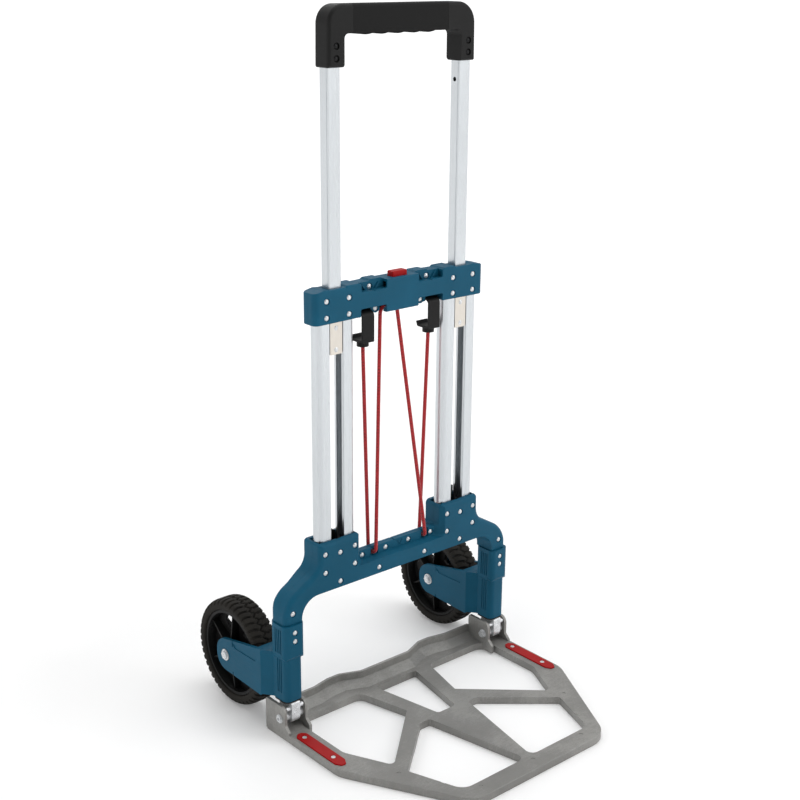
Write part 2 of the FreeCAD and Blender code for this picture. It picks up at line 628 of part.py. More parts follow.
# ---------------------------------------------------------------- wheel arms
def sleeve_plan(half_width, front, inset=0.0):
    """Plan of the sleeve: rounder at the back than at the front."""
    a = half_width - inset
    y0 = front + inset
    y1 = SLEEVE_BACK_Y - inset
    return [(LEG_X - a, y0, 10 - inset), (LEG_X + a, y0, 10 - inset), (LEG_X + a, y1, 12.5 - inset),
            (LEG_X - a, y1, 12.5 - inset)]


def collar():
    """Thicker upper part of the sleeve, bevelled at its lower end."""
    high = SLEEVE_Z[1]
    w = COLLAR_HALF_WIDTH
    bevel_z = COLLAR_Z - 7
    plan = prism("z", sleeve_plan(w, COLLAR_FRONT_Y), bevel_z, high)
    side = prism("x", [(COLLAR_FRONT_Y - 1, COLLAR_Z), (COLLAR_FRONT_Y - 1, high + 1), (40, high + 1),
                       (40, bevel_z), (SLEEVE_FRONT_Y, bevel_z)], LEG_X - 40, LEG_X + 40)
    front = prism("y", [(LEG_X - w - 1, COLLAR_Z), (LEG_X - w - 1, high + 1), (LEG_X + w + 1, high + 1),
                        (LEG_X + w + 1, COLLAR_Z), (LEG_X + SLEEVE_HALF_WIDTH, bevel_z),
                        (LEG_X - SLEEVE_HALF_WIDTH, bevel_z)], -20, 50)
    return plan.common(side).common(front)


def cheek(side):
    """One cheek of the fork, with a shallow relief and two nicks on its outer face."""
    x = LEG_X
    face, back = x + side * FORK_HALF_WIDTH, x + side * CHEEK_INNER
    plate = prism("x", [(45.5, 139, 3), (168.5, 113, 26), (168.5, 63, 24.5), (45.5, 58.5, 2)],
                  min(face, back), max(face, back))
    relief = sorted((face - side * 1.0, face + side * 2))
    cuts = [prism("x", [(44, 112.5), (116, 111.5), (124, 118.5), (52, 134.0), (44, 134.0)], *relief)]
    cuts += [block(relief, (122.4, 124.6), span) for span in ((112.0, 124.0), (55.0, 66.5))]
    return without(plate, cuts)


def flutes():
    """Upright grooves in both sides of the sleeve."""
    cuts = []
    for side in (-1, 1):
        low_wall = sorted((LEG_X + side * (SLEEVE_HALF_WIDTH - 1.0), LEG_X + side * 24))
        high_wall = sorted((LEG_X + side * (COLLAR_HALF_WIDTH - 1.2), LEG_X + side * 24))
        cuts += [block(low_wall, (y, y + 2.2), (75, COLLAR_Z - 8)) for y in (6.0, 10.6, 15.2)]
        cuts += [block(high_wall, (y, y + 2.2), (COLLAR_Z + 3, 185)) for y in (3.0, 7.6, 12.2, 16.8)]
    return cuts


def fork():
    """Wheel arm: a sleeve around the leg core that opens into two cheeks either side of the wheel."""
    low, high = SLEEVE_Z
    x = LEG_X
    w = SLEEVE_HALF_WIDTH
    sleeve = prism("z", sleeve_plan(w, SLEEVE_FRONT_Y), low, high)
    neck = prism("z", [(x - w, 20), (x + w, 20), (x + w, 28), (x + FORK_HALF_WIDTH, 45.5, 2),
                       (x + FORK_HALF_WIDTH, 60), (x - FORK_HALF_WIDTH, 60), (x - FORK_HALF_WIDTH, 45.5, 2),
                       (x - w, 28)], low, 139.0)
    profile = prism("x", [(0, 58.5), (0, 150), (40, 139.0), (60, 136.0), (60, 58.5)], x - 60, x + 60)
    body = joined([sleeve, collar(), neck.common(profile), cheek(-1), cheek(1)])
    bore = rod("z", x, LEG_Y, SLEEVE_BORE, low - 5, high + 1)
    wheel_room = rod("x", WHEEL_Y, WHEEL_RADIUS, WHEEL_RADIUS + 3.5, x - CHEEK_INNER, x + CHEEK_INNER)
    axle_hole = rod("x", WHEEL_Y, WHEEL_RADIUS, AXLE_RADIUS + RUNNING_CLEARANCE, x - 50, x + 50)
    rivets = [rod("y", x, z, RIVET_SHANK + RUNNING_CLEARANCE, -9, 5) for z in FORK_RIVET_Z]
    rivets += [rod("y", x, z, RECESS_RADIUS - 0.3, -20, COLLAR_FRONT_Y + RECESS_DEPTH) for z in FORK_RIVET_Z]
    washer_seats = [rod("x", WHEEL_Y, WHEEL_RADIUS, 10.5, x + FORK_HALF_WIDTH - 1.0, x + 60),
                    rod("x", WHEEL_Y, WHEEL_RADIUS, 10.5, x - 60, x - FORK_HALF_WIDTH + 1.0)]
    return without(body, [bore, wheel_room, axle_hole] + flutes() + rivets + washer_seats)


def fork_rivets():
    """Two rivets that hold the upper bush in the sleeve."""
    pieces = []
    face = COLLAR_FRONT_Y + RECESS_DEPTH
    for z in FORK_RIVET_Z:
        head = cap(RIVET_CAP, RIVET_HEAD)
        head.translate(Vector(LEG_X, face, z))
        pieces.append(joined([head, rod("y", LEG_X, z, RIVET_SHANK, face, -1.5)]))
    return pieces


def swivel_bushes():
    """Upper bush, and lower bush with a black end plate under the sleeve."""
    low, high = SLEEVE_Z
    inner = rod("z", LEG_X, LEG_Y, CORE_RADIUS + RUNNING_CLEARANCE, low - 5, high + 5)
    bush = SLEEVE_BORE - RUNNING_CLEARANCE
    plate = prism("z", sleeve_plan(SLEEVE_HALF_WIDTH, SLEEVE_FRONT_Y, 0.3), low - 2.6, low - 0.1)
    lower = joined([rod("z", LEG_X, LEG_Y, bush, low - 0.1, low + 15), plate])
    return [lower.cut(inner), rod("z", LEG_X, LEG_Y, bush, 154.0, high - 1).cut(inner)]


def axle():
    """Wheel bolt with a flanged head on the outer cheek."""
    outer = LEG_X + FORK_HALF_WIDTH - 1.0
    shank = rod("x", WHEEL_Y, WHEEL_RADIUS, AXLE_RADIUS, LEG_X - FORK_HALF_WIDTH - 5.0, outer)
    flange = rod("x", WHEEL_Y, WHEEL_RADIUS, 9.6, outer, outer + 1.8)
    head = hexagon("x", WHEEL_Y, WHEEL_RADIUS, 13.0, outer + 1.8, outer + 4.4)
    return joined([shank, flange, head.common(rod("x", WHEEL_Y, WHEEL_RADIUS, 7.1, outer, outer + 9))])


def axle_nut():
    """Flanged nut on the inner cheek."""
    inner = LEG_X - FORK_HALF_WIDTH + 1.0
    flange = rod("x", WHEEL_Y, WHEEL_RADIUS, 9.6, inner - 1.8, inner)
    nut = hexagon("x", WHEEL_Y, WHEEL_RADIUS, 13.0, inner - 5.0, inner - 1.8)
    return joined([flange, nut]).cut(
        rod("x", WHEEL_Y, WHEEL_RADIUS, AXLE_RADIUS + RUNNING_CLEARANCE, inner - 9, inner + 1))


def rim():
    """Black wheel centre: hub, thin web with oval windows, ribs on both sides and a band under the tyre."""
    x = LEG_X
    y = WHEEL_Y
    z = WHEEL_RADIUS
    band = ring("x", y, z, TYRE_INNER_RADIUS - 4.5, TYRE_INNER_RADIUS, x - 18.5, x + 18.5)
    hub = rod("x", y, z, 14.0, x - 22.4, x + 22.4)
    web = rod("x", y, z, TYRE_INNER_RADIUS - 3, x - 2, x + 2)
    count = 6
    windows = []
    ribs = []
    for k in range(count):
        turn = 360.0 / count * k
        window = prism("x", [(34, -6, 5.9), (60, -13, 8), (60, 13, 8), (34, 6, 5.9)], x - 9, x + 9)
        window.rotate(Vector(0, 0, 0), Vector(1, 0, 0), turn)
        window.translate(Vector(0, y, z))
        windows.append(window)
        half = prism("z", [(10, -19), (69, -12.5), (69, 12.5), (10, 19)], -1.3, 1.3)
        half.rotate(Vector(0, 0, 0), Vector(0, 0, 1), 90)
        half.rotate(Vector(0, 0, 0), Vector(1, 0, 0), turn + 180.0 / count)
        half.translate(Vector(x, y, z))
        ribs.append(half)
    plate = without(web, windows)
    body = joined([band, hub, plate] + ribs)
    return body.cut(rod("x", y, z, 8.0, x - 40, x + 40))


def tyre():
    """Solid rubber tyre with rounded shoulders."""
    half = TYRE_WIDTH / 2
    section = outline("z", [(-18.5, TYRE_INNER_RADIUS), (-half, TYRE_INNER_RADIUS + 1.5, 1), (-half, 80, 6),
                            (-half + 8, WHEEL_RADIUS, 9), (half - 8, WHEEL_RADIUS, 9), (half, 80, 6),
                            (half, TYRE_INNER_RADIUS + 1.5, 1), (18.5, TYRE_INNER_RADIUS)])
    solid = section.revolve(Vector(0, 0, 0), Vector(1, 0, 0), 360)
    solid.translate(Vector(LEG_X, WHEEL_Y, WHEEL_RADIUS))
    return solid


def hub_bush():
    """Plastic bearing bush in the hub."""
    return ring("x", WHEEL_Y, WHEEL_RADIUS, AXLE_RADIUS + RUNNING_CLEARANCE, 7.95, LEG_X - 22.8, LEG_X + 22.8)


# ---------------------------------------------------------------- platform
def platform_corners():
    """Plan outline of the load platform."""
    w = PLATFORM_HALF_WIDTH
    half = [(w, EAR_BACK_Y, 4), (w - 1, -140, 45), (141, FRONT_EDGE_Y, 42)]
    left = [(-p[0],) + tuple(p[1:]) for p in reversed(half)]
    return half + left


PLATFORM_WINDOWS = [
    [(208, 13, 26), (76, 13, 16), (53, -78, 3), (171, -184, 8), (208, -108, 26)],
    [(42, -121, 5), (62, -121, 9), (166, -209, 3), (134, -298, 24), (6, -298, 12)],
]
CASTING_DIMPLES = [(-110, -308), (0, -308), (108, -308), (-180, -205), (180, -205), (-145, -265), (145, -265)]
CENTRE_WINDOW = [(-44, 11, 3), (44, 11, 3), (19, -116, 6), (-19, -116, 6)]
WALL_LINE = [(200, 44), (145, 44, 40), (112, 51, 20), (88, 51, 20), (52, 36, 20)]


def wall_line(offset):
    """Plan line of the rear upstand from right to left, moved back by offset."""
    right = [(p[0], p[1] + offset) + tuple(p[2:]) for p in WALL_LINE]
    left = [(-p[0],) + tuple(p[1:]) for p in reversed(right)]
    return right + left


def ear():
    """Upright hinge plate with a rounded nose that turns under the sleeve."""
    front = EAR_FRONT_Y
    return prism("x", [(front - 10, 2), (front - 10, 15, 3), (front, 24, 5), (front, EAR_TOP_Z, 12),
                       (EAR_BACK_Y, EAR_TOP_Z, 4), (EAR_BACK_Y, 2)], EAR_INNER, EAR_OUTER)


def platform():
    """Cast load platform with an open underside, five windows, a rear upstand and four hinge ears."""
    slab = prism("z", platform_corners(), 0, PLATFORM_TOP_Z)
    slab = rounded(slab, 1.5, lambda e: on_plane(e, "z", PLATFORM_TOP_Z))
    tail = block((-200, 200), (20, 60), (-1, 40))
    apron = prism("z", wall_line(1) + [(-200, 19), (200, 19)], 0, PLATFORM_TOP_Z)
    upstand = prism("z", wall_line(WALL_THICKNESS) + list(reversed(wall_line(0))), 0, WALL_TOP_Z)
    base = joined([slab.cut(tail), apron, upstand] + apron_ramp())
    windows = [s for w in PLATFORM_WINDOWS for s in both(prism("z", w, -5, 30))]
    windows.append(prism("z", CENTRE_WINDOW, -5, 30))
    base = without(base, windows)
    plates = []
    for shape in both(ear()):
        shape.translate(Vector(LEG_X, 0, 0))
        plates += both(shape)
    body = without(joined([base] + plates), platform_pockets())
    holes = both(rod("x", HINGE_Y, HINGE_Z, HINGE_BOLT_RADIUS + RUNNING_CLEARANCE, 190, 250))
    screws = [s for y in STRIP_SCREW_Y for s in both(rod("z", STRIP_X, y, 1.7, 2, 20))]
    dimples = [rod("z", x, y, 3.5, PLATFORM_TOP_Z - 0.5, 20) for x, y in CASTING_DIMPLES]
    return without(body, holes + screws + dimples)


def apron_ramp():
    """Sloping fillet between the platform floor and the rear upstand."""
    stations = [(x, p[1]) for x, p in zip((199, 145, 112, 88, 52), WALL_LINE)]
    stations += [(-x, y) for x, y in reversed(stations)]
    pieces = []
    for (x0, y0), (x1, y1) in zip(stations, stations[1:]):
        ends = [outline("x", [(y - 17, 12.4), (y + 1, 12.4), (y + 1, 23.0)], x).OuterWire
                for x, y in ((x0, y0), (x1, y1))]
        pieces.append(Part.makeLoft(ends, True, True))
    return pieces


def platform_pockets():
    """Hollows under the platform that leave a skin, a rim and ribs."""
    rim_width = PLATFORM_RIM
    face = outline("z", platform_corners(), -1)
    for w in PLATFORM_WINDOWS:
        for s in both(outline("z", w, -1)):
            face = face.cut(s)
    face = face.cut(outline("z", CENTRE_WINDOW, -1))
    face = face.cut(outline("z", [(-260, 4), (260, 4), (260, 80), (-260, 80)], -1))
    pockets = []
    for piece in face.Faces:
        pockets.append(piece.makeOffset2D(-rim_width).extrude(Vector(0, 0, PLATFORM_TOP_Z - PLATFORM_SKIN + 1)))
    ribs = [block((x - 1.5, x + 1.5), (-335, 50), (-2, 20)) for x in (-190, -95, 0, 95, 190)]
    ribs += [block((-260, 260), (y - 1.5, y + 1.5), (-2, 20)) for y in (-40, -113, -200, -260)]
    bosses = [s for y in STRIP_SCREW_Y for s in both(rod("z", STRIP_X, y, 5.0, -2, 20))]
    return [without(Part.makeCompound(pockets), ribs + bosses)]


def strip():
    """Red marker strip screwed to the platform's side."""
    z = PLATFORM_TOP_Z
    w = 10.0
    body = prism("z", [(STRIP_X - w, -31, 5), (STRIP_X - 4, -24, 3), (STRIP_X + 4, -24, 3), (STRIP_X + w, -31, 5),
                       (STRIP_X + w, -126, 5), (STRIP_X + 4, -136, 4), (STRIP_X - 4, -136, 4),
                       (STRIP_X - w, -126, 5)], z, z + STRIP_THICKNESS)
    body = rounded(body, 0.8, lambda e: on_plane(e, "z", z + STRIP_THICKNESS))
    holes = [rod("z", STRIP_X, y, 1.75, 0, 30) for y in STRIP_SCREW_Y]
    recess = [rod("z", STRIP_X, y, 4.2, z + SCREW_SEAT, 30) for y in STRIP_SCREW_Y]
    return without(body, holes + recess)


def strip_screw(y):
    """Pan-head screw with a cross recess, its head level with the strip."""
    z = PLATFORM_TOP_Z + SCREW_SEAT
    top = PLATFORM_TOP_Z + STRIP_THICKNESS
    head = rounded(rod("z", STRIP_X, y, 3.6, z, top), 0.7, lambda e: on_plane(e, "z", top))
    cross = [block((STRIP_X - 2, STRIP_X + 2), (y - 0.4, y + 0.4), (top - 0.8, top + 1)),
             block((STRIP_X - 0.4, STRIP_X + 0.4), (y - 2, y + 2), (top - 0.8, top + 1))]
    return without(joined([head, rod("z", STRIP_X, y, 1.6, 3.0, z)]), cross)


# ---------------------------------------------------------------- handle
def handle_envelope():
    """Outer form of the handle: a wide grip on two short legs."""
    w = HANDLE_HALF_WIDTH
    inner = HANDLE_LEG_INNER
    face = prism("y", [(w, HANDLE_BOTTOM_Z, 2), (w - 1, TOTAL_HEIGHT, 32), (-w + 1, TOTAL_HEIGHT, 27),
                       (-w, HANDLE_BOTTOM_Z, 2), (-inner, HANDLE_BOTTOM_Z), (-inner, GRIP_BOTTOM_Z, 7),
                       (inner, GRIP_BOTTOM_Z, 9), (inner, HANDLE_BOTTOM_Z)], 0, HANDLE_DEPTH)
    return rounded(face, 5.0, lambda e: (on_plane(e, "y", 0) or on_plane(e, "y", HANDLE_DEPTH))
                   and e.BoundBox.ZMax > HANDLE_BOTTOM_Z + 3 and not inner_edge(e))


def inner_edge(edge):
    """Edges of the hand opening."""
    box = edge.BoundBox
    reach = HANDLE_LEG_INNER + 0.5
    return box.XMax < reach and box.XMin > -reach and box.ZMax < GRIP_BOTTOM_Z + 1


def handle_parts():
    """Handle moulding and the grip sleeve around its middle."""
    whole = handle_envelope()
    reach = block(GRIP_X, (-5, 60), (GRIP_BOTTOM_Z - 10, TOTAL_HEIGHT + 10))
    bar = block((GRIP_X[0] - 1, GRIP_X[1] + 1), (6, HANDLE_DEPTH - 6), (GRIP_BOTTOM_Z + 6, TOTAL_HEIGHT - 8),
                5.0, "x")
    leg = block((GAP_CENTRE_X - TUBE_HALF_WIDTH - 0.1, GAP_CENTRE_X + TUBE_HALF_WIDTH + 0.1),
                (TUBE_DEPTH[0] - 0.1, TUBE_DEPTH[1] + 0.1), (HANDLE_BOTTOM_Z - 5, TOTAL_HEIGHT - 29.8), 2.0)
    rooms = both(leg)
    rooms += [s for z in HANDLE_RIVET_Z for s in both(rivet_room(GAP_CENTRE_X, z, 2.0, HANDLE_DEPTH - 2.0))]
    shell = without(joined([whole.cut(reach), bar]), rooms)
    sleeve = whole.common(block((GRIP_X[0] + 0.3, GRIP_X[1] - 0.3), (-5, 60), (1000, 1200)))
    lobes = joined([rod("y", x, GRIP_BOTTOM_Z - LOBE_DEPTH + LOBE_RADIUS, LOBE_RADIUS, 4, HANDLE_DEPTH - 4)
                    for x in LOBE_X])
    lobes = lobes.common(block((GRIP_X[0] + 1, GRIP_X[1] - 1), (0, 40), (GRIP_BOTTOM_Z - 5, GRIP_BOTTOM_Z + 3)))
    return shell, without(joined([sleeve, lobes]), [bar])


def handle_rivets():
    """Black rivets in the handle legs."""
    return [s for z in HANDLE_RIVET_Z for s in both(rivet(GAP_CENTRE_X, z, 2.0, HANDLE_DEPTH - 2.0))]


# ---------------------------------------------------------------- cord and hooks
CORD_ROUTE = [(-HOOK_X, 16, CORD_END_Z), (-49.6, 23.5, CORD_LOW_Z), (-48, 6.5, CORD_LOW_Z), (-34, 14, 664),
              (-2, 14, 664), (58.5, 6.5, CORD_LOW_Z), (60, 23.5, CORD_LOW_Z), (HOOK_X, 16, CORD_END_Z)]
CORD_BENDS = [8.2, 8.2, 15.5, 15.5, 8.2, 8.2]


def cord():
    """Elastic cord: straight runs joined by arcs, from one hook to the other."""
    points = [Vector(*p) for p in CORD_ROUTE]
    edges = []
    last = points[0]
    for i, radius in enumerate(CORD_BENDS):
        here = points[i + 1]
        back = (points[i] - here).normalize()
        ahead = (points[i + 2] - here).normalize()
        half = back.getAngle(ahead) / 2
        reach = radius / math.tan(half)
        enter = here + back * reach
        leave = here + ahead * reach
        middle = here + (back + ahead).normalize() * (radius / math.sin(half) - radius)
        edges.append(Part.LineSegment(last, enter).toShape())
        edges.append(Part.Arc(enter, middle, leave).toShape())
        last = leave
    edges.append(Part.LineSegment(last, points[-1]).toShape())
    path = Part.Wire(edges)
    start = Part.Wire(Part.makeCircle(CORD_RADIUS, points[0], points[1] - points[0]))
    solid = path.makePipeShell([start], True, False)
    length = sum(e.Length for e in edges)
    print("cord length", round(length, 1), "volume ratio",
          round(solid.Volume / (math.pi * CORD_RADIUS ** 2 * length), 4))
    return solid


def hook():
    """Flat plastic hook: hangs in the cross piece, drops as a strap and ends in a foot with a cord collar."""
    x = HOOK_X
    z = HOOK_Z
    w = HOOK_HALF_WIDTH
    strap = prism("x", [(1.5, z, 1), (1.5, 661, 9), (15.5, 661, 1), (15.5, 657.5, 1), (5.5, 657.5, 5), (5.5, z)],
                  x - w, x + w)
    foot = prism("x", [(1.5, z, 1), (1.5, z + 4), (27, z + 4, 1), (31, z + 9, 1), (33, z + 8, 1), (30, z, 3)],
                 x - w, x + w)
    collar_ring = rod("z", x, 16, 9.4, z - 7.5, z + 1)
    body = joined([strap, foot, collar_ring])
    return body.cut(rod("z", x, 16, CORD_RADIUS + 0.4, z - 20, CORD_END_Z + 0.1))


# ---------------------------------------------------------------- nodes
def write_all():
    """Build every piece and write it as its own node."""
    for side, place in (("right", lambda s: s), ("left", mirrored)):
        export("rail_outer_" + side, place(rail(False)))
        export("rail_inner_" + side, place(rail(True)))
        export("handle_tube_" + side, place(handle_tube()))
        export("slider_block_" + side, place(slider_block()))
        export("slider_plate_" + side, place(slider_plate()))
        export("latch_slide_" + side, place(latch_slide()))
        export("leg_core_" + side, place(leg_core()))
        export("hinge_block_" + side, place(hinge_block()))
        export("hinge_bolt_" + side, place(hinge_bolt()))
        export("fork_" + side, place(fork()))
        export("fork_rivets_" + side, [place(s) for s in fork_rivets()])
        export("swivel_bushes_" + side, [place(s) for s in swivel_bushes()])
        export("axle_bolt_" + side, place(axle()))
        export("axle_nut_" + side, place(axle_nut()))
        export("wheel_rim_" + side, place(rim()))
        export("tyre_" + side, place(tyre()))
        export("hub_bush_" + side, place(hub_bush()))
        export("marker_strip_" + side, place(strip()))
        export("hook_" + side, place(hook()))
    front, back = bar_halves()
    export("crossbar_front", front)
    export("crossbar_back", back)
    export("crossbar_rivets", [rivet(*spot) for spot in BAR_RIVETS])
    front, back = yoke_halves()
    export("yoke_front", front)
    export("yoke_back", back)
    export("yoke_rivets", [rivet(*spot) for spot in YOKE_RIVETS + KNEE_RIVETS])
    export("stop_plugs", both(stop_plug()))
    export("slider_rivets", [s for r in slider_rivets() for s in both(r)])
    export("release_button", button())
    export("button_spring", button_spring())
    export("cam_pins", both(cam_pin()))
    export("hinge_nuts", both(hinge_nut()))
    export("hinge_washers", [s for w in hinge_washers() for s in both(w)])
    export("platform", platform())
    export("strip_screws", [s for y in STRIP_SCREW_Y for s in both(strip_screw(y))])
    shell, grip = handle_parts()
    export("handle_shell", shell)
    export("handle_grip", grip)
    export("handle_rivets", handle_rivets())
    export("elastic_cord", cord())


write_all()
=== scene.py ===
"""Folding luggage cart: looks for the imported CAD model. Metres, in the same frame as the CAD."""
import bpy
import json
import math
from mathutils import Matrix, Vector


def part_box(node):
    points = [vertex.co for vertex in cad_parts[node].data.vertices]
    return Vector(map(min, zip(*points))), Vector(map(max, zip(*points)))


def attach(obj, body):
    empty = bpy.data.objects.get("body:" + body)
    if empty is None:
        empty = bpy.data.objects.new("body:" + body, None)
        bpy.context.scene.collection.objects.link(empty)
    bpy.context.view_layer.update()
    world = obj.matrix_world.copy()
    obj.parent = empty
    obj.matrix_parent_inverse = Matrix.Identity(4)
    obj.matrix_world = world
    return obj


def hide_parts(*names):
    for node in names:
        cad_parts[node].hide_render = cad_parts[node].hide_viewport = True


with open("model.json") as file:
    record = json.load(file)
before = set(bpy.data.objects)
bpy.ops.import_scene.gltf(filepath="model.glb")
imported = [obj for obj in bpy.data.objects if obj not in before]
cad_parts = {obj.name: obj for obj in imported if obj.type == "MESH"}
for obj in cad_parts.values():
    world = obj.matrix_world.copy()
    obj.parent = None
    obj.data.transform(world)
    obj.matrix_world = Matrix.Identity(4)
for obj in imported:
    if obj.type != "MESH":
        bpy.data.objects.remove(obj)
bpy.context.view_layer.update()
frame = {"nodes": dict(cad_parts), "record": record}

MM = 0.001
SIDES = ("left", "right")


# ---------------------------------------------------------------- node helpers
def linear(red, green, blue):
    """Scene colour for an sRGB colour given as 0 to 255."""
    values = []
    for value in (red, green, blue):
        value = value / 255
        if value <= 0.04045:
            values.append(value / 12.92)
        else:
            values.append(((value + 0.055) / 1.055) ** 2.4)
    return (*values, 1.0)


def new_material(name):
    """Empty node material with a Principled shader; returns the tree and the shader."""
    material = bpy.data.materials.new(name)
    material.use_nodes = True
    tree = material.node_tree
    return material, tree, tree.nodes["Principled BSDF"]


def position(tree, stretch=(1, 1, 1)):
    """Object coordinates, stretched so that grain can run along one axis."""
    coordinates = tree.nodes.new("ShaderNodeTexCoord")
    mapping = tree.nodes.new("ShaderNodeMapping")
    mapping.inputs["Scale"].default_value = stretch
    tree.links.new(coordinates.outputs["Object"], mapping.inputs["Vector"])
    return mapping.outputs["Vector"]


def noise(tree, vector, scale, detail=3.0, roughness=0.55):
    """Noise texture; returns its value."""
    node = tree.nodes.new("ShaderNodeTexNoise")
    node.inputs["Scale"].default_value = scale
    node.inputs["Detail"].default_value = detail
    node.inputs["Roughness"].default_value = roughness
    tree.links.new(vector, node.inputs["Vector"])
    return node.outputs["Fac"]


def cells(tree, vector, scale):
    """Voronoi texture; returns the distance to the nearest cell's middle."""
    node = tree.nodes.new("ShaderNodeTexVoronoi")
    node.inputs["Scale"].default_value = scale
    tree.links.new(vector, node.inputs["Vector"])
    return node.outputs["Distance"]


def ramp(tree, value, stops):
    """Colour ramp through (place, colour) stops."""
    node = tree.nodes.new("ShaderNodeValToRGB")
    elements = node.color_ramp.elements
    for index, (place, colour) in enumerate(stops):
        element = elements[index] if index < 2 else elements.new(place)
        element.position = place
        element.color = colour
    tree.links.new(value, node.inputs["Fac"])
    return node.outputs["Color"]


def spread(tree, value, low, high):
    """Value 0 to 1 spread over low to high."""
    node = tree.nodes.new("ShaderNodeMapRange")
    node.inputs["From Min"].default_value = NOISE_LOW
    node.inputs["From Max"].default_value = NOISE_HIGH
    node.inputs["To Min"].default_value = low
    node.inputs["To Max"].default_value = high
    tree.links.new(value, node.inputs["Value"])
    return node.outputs["Result"]


def add(tree, one, two, weight):
    """one + two * weight."""
    node = tree.nodes.new("ShaderNodeMath")
    node.operation = "MULTIPLY_ADD"
    node.inputs[1].default_value = weight
    tree.links.new(two, node.inputs[0])
    tree.links.new(one, node.inputs[2])
    return node.outputs["Value"]


def bump(tree, shader, height, strength, distance):
    """Bump from a height value, in metres of distance."""
    node = tree.nodes.new("ShaderNodeBump")
    node.inputs["Strength"].default_value = strength
    node.inputs["Distance"].default_value = distance
    tree.links.new(height, node.inputs["Height"])
    tree.links.new(node.outputs["Normal"], shader.inputs["Normal"])


def shade(colour, factor):
    """The colour made lighter or darker."""
    return tuple(min(1.0, c * factor) for c in colour[:3]) + (1.0,)


# ---------------------------------------------------------------- materials
NOISE_LOW, NOISE_HIGH = 0.3, 0.7
PLASTIC_SHEEN = 0.16
RUBBER_SHEEN = 0.14
CAST_METALLIC = 0.35
CORD_ROUGHNESS = 0.75
CORD_FUZZ_SHEEN = 0.3


def moulded_plastic(name, colour, rough=(0.4, 0.52), grain=1500.0, depth=0.12, wear=1.12):
    """Moulded plastic: fine spark-eroded grain, faint flow marks and rubbed, slightly paler patches."""
    material, tree, shader = new_material(name)
    place = position(tree)
    broad = noise(tree, place, 14.0, 5.0)
    fine = noise(tree, place, grain, 2.0)
    scuffs = noise(tree, position(tree, (1, 1, 6)), 55.0, 8.0, 0.7)
    mixed = add(tree, broad, scuffs, 0.25)
    stops = [(0.42, shade(colour, 0.93)), (0.62, colour), (0.82, shade(colour, wear))]
    tree.links.new(ramp(tree, mixed, stops), shader.inputs["Base Color"])
    tree.links.new(spread(tree, scuffs, *rough), shader.inputs["Roughness"])
    shader.inputs["Specular IOR Level"].default_value = PLASTIC_SHEEN
    bump(tree, shader, add(tree, fine, broad, 0.3), depth, 0.0004)
    return material


def drawn_metal(name, colour, rough=(0.26, 0.38), metallic=0.9):
    """Drawn and anodised metal: hair lines along the length and a satin sheen."""
    material, tree, shader = new_material(name)
    lines = noise(tree, position(tree, (1, 1, 0.012)), 1800.0, 4.0, 0.6)
    broad = noise(tree, position(tree, (1, 1, 0.2)), 30.0, 3.0)
    stops = [(0.35, shade(colour, 0.9)), (0.65, colour), (0.9, shade(colour, 1.06))]
    tree.links.new(ramp(tree, add(tree, lines, broad, 0.2), stops), shader.inputs["Base Color"])
    tree.links.new(spread(tree, lines, *rough), shader.inputs["Roughness"])
    shader.inputs["Metallic"].default_value = metallic
    bump(tree, shader, lines, 0.08, 0.0002)
    return material


def cast_metal(name, colour):
    """Die-cast light metal under a grey coat: orange peel, pits, pale specks and rubbed streaks."""
    material, tree, shader = new_material(name)
    place = position(tree)
    broad = noise(tree, place, 9.0, 6.0, 0.6)
    peel = noise(tree, place, 420.0, 4.0, 0.6)
    pits = cells(tree, place, 260.0)
    streaks = noise(tree, position(tree, (1, 5, 1)), 60.0, 8.0, 0.75)
    mixed = add(tree, add(tree, broad, streaks, 0.45), peel, 0.3)
    stops = [(0.55, shade(colour, 0.8)), (0.85, colour), (1.0, shade(colour, 1.3))]
    tree.links.new(ramp(tree, mixed, stops), shader.inputs["Base Color"])
    tree.links.new(spread(tree, streaks, 0.42, 0.6), shader.inputs["Roughness"])
    shader.inputs["Metallic"].default_value = CAST_METALLIC
    bump(tree, shader, add(tree, peel, pits, -0.35), 0.25, 0.0005)
    return material


def bright_zinc(name, colour, rough=(0.18, 0.34), metallic=0.85):
    """Zinc-plated fastener or steel part: cloudy brightness and tiny scratches."""
    material, tree, shader = new_material(name)
    place = position(tree)
    clouds = noise(tree, place, 160.0, 5.0)
    scratches = noise(tree, position(tree, (1, 7, 2)), 900.0, 3.0, 0.7)
    stops = [(0.35, shade(colour, 0.82)), (0.6, colour), (0.85, shade(colour, 1.08))]
    tree.links.new(ramp(tree, clouds, stops), shader.inputs["Base Color"])
    tree.links.new(spread(tree, scratches, *rough), shader.inputs["Roughness"])
    shader.inputs["Metallic"].default_value = metallic
    bump(tree, shader, scratches, 0.08, 0.0002)
    return material


def soft_rubber(name, colour, grain=700.0, dust=1.6):
    """Rubber: coarse matt grain, bloom and dust that sits in patches."""
    material, tree, shader = new_material(name)
    place = position(tree)
    bloom = noise(tree, place, 22.0, 6.0, 0.65)
    grainy = noise(tree, place, grain, 3.0, 0.6)
    stops = [(0.4, shade(colour, 0.8)), (0.6, colour), (0.85, shade(colour, dust))]
    tree.links.new(ramp(tree, add(tree, bloom, grainy, 0.2), stops), shader.inputs["Base Color"])
    tree.links.new(spread(tree, bloom, 0.62, 0.8), shader.inputs["Roughness"])
    shader.inputs["Specular IOR Level"].default_value = RUBBER_SHEEN
    bump(tree, shader, grainy, 0.3, 0.0004)
    return material


